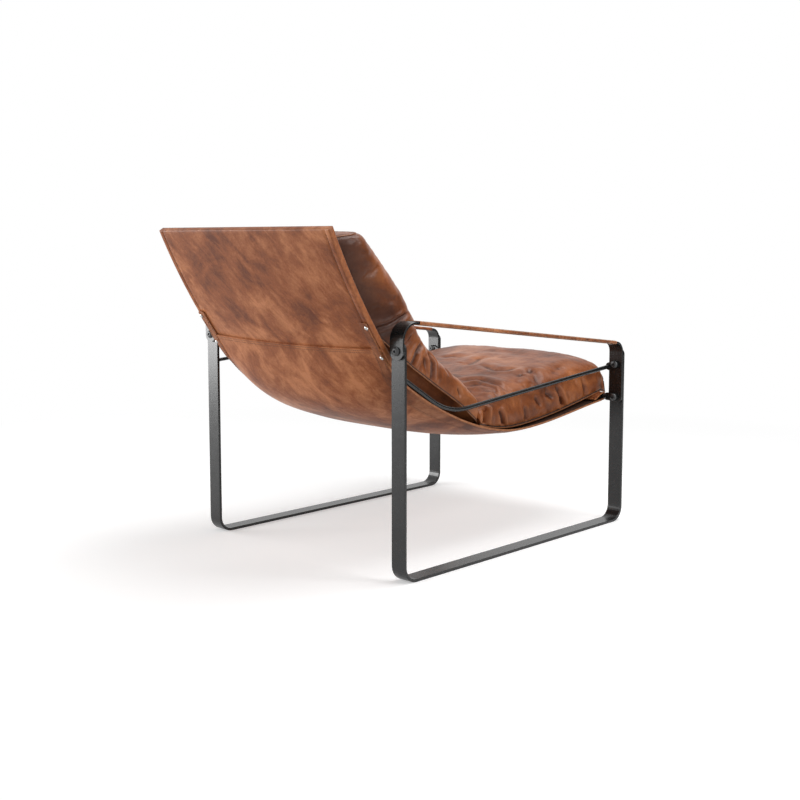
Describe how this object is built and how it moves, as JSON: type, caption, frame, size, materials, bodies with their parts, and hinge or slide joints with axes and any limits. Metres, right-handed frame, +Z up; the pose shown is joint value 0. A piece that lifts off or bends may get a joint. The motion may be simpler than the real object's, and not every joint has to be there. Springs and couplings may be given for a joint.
{
  "type": "sling lounge chair",
  "caption": "Low lounge chair: bent flat-bar side frames, leather-wrapped sloping arms, a round-bar back frame, a hemmed leather sling and a loose padded leather cushion.",
  "frame": {"origin": "on the floor under the middle of the chair's overall box", "axes": "+Z up, the sitter faces -Y, the sitter's left is +X"},
  "size_m": [0.6562, 0.962, 0.7276],
  "materials": {
    "frame_steel": "satin black lacquer on flat and round steel bar",
    "bolt_steel": "dark satin fasteners",
    "bright_screw": "polished",
    "sling_leather": "thick waxed leather with pale cut edges",
    "cushion_leather": "soft waxed leather cover"
  },
  "bodies": {
    "root": {"right_leg_frame": "frame_steel", "right_arm_bar": "frame_steel", "right_arm_wrap": "sling_leather", "right_side_rail": "frame_steel", "right_standoff": "frame_steel", "right_rear_arm_bolt": "bolt_steel", "right_rear_arm_nut": "bolt_steel", "right_front_upper_bolt": "bolt_steel", "right_front_upper_nut": "bolt_steel", "right_front_lower_bolt": "bolt_steel", "right_front_lower_nut": "bolt_steel", "right_lower_sling_screw": "bright_screw", "right_upper_sling_screw": "bright_screw", "left_leg_frame": "frame_steel", "left_arm_bar": "frame_steel", "left_arm_wrap": "sling_leather", "left_side_rail": "frame_steel", "left_standoff": "frame_steel", "left_rear_arm_bolt": "bolt_steel", "left_rear_arm_nut": "bolt_steel", "left_front_upper_bolt": "bolt_steel", "left_front_upper_nut": "bolt_steel", "left_front_lower_bolt": "bolt_steel", "left_front_lower_nut": "bolt_steel", "left_lower_sling_screw": "bright_screw", "left_upper_sling_screw": "bright_screw", "top_rail": "frame_steel", "front_bar": "frame_steel", "back_panel": "sling_leather", "seat_panel": "sling_leather", "back_cushion": "cushion_leather", "seat_cushion": "cushion_leather"}
  },
  "joints": []
}
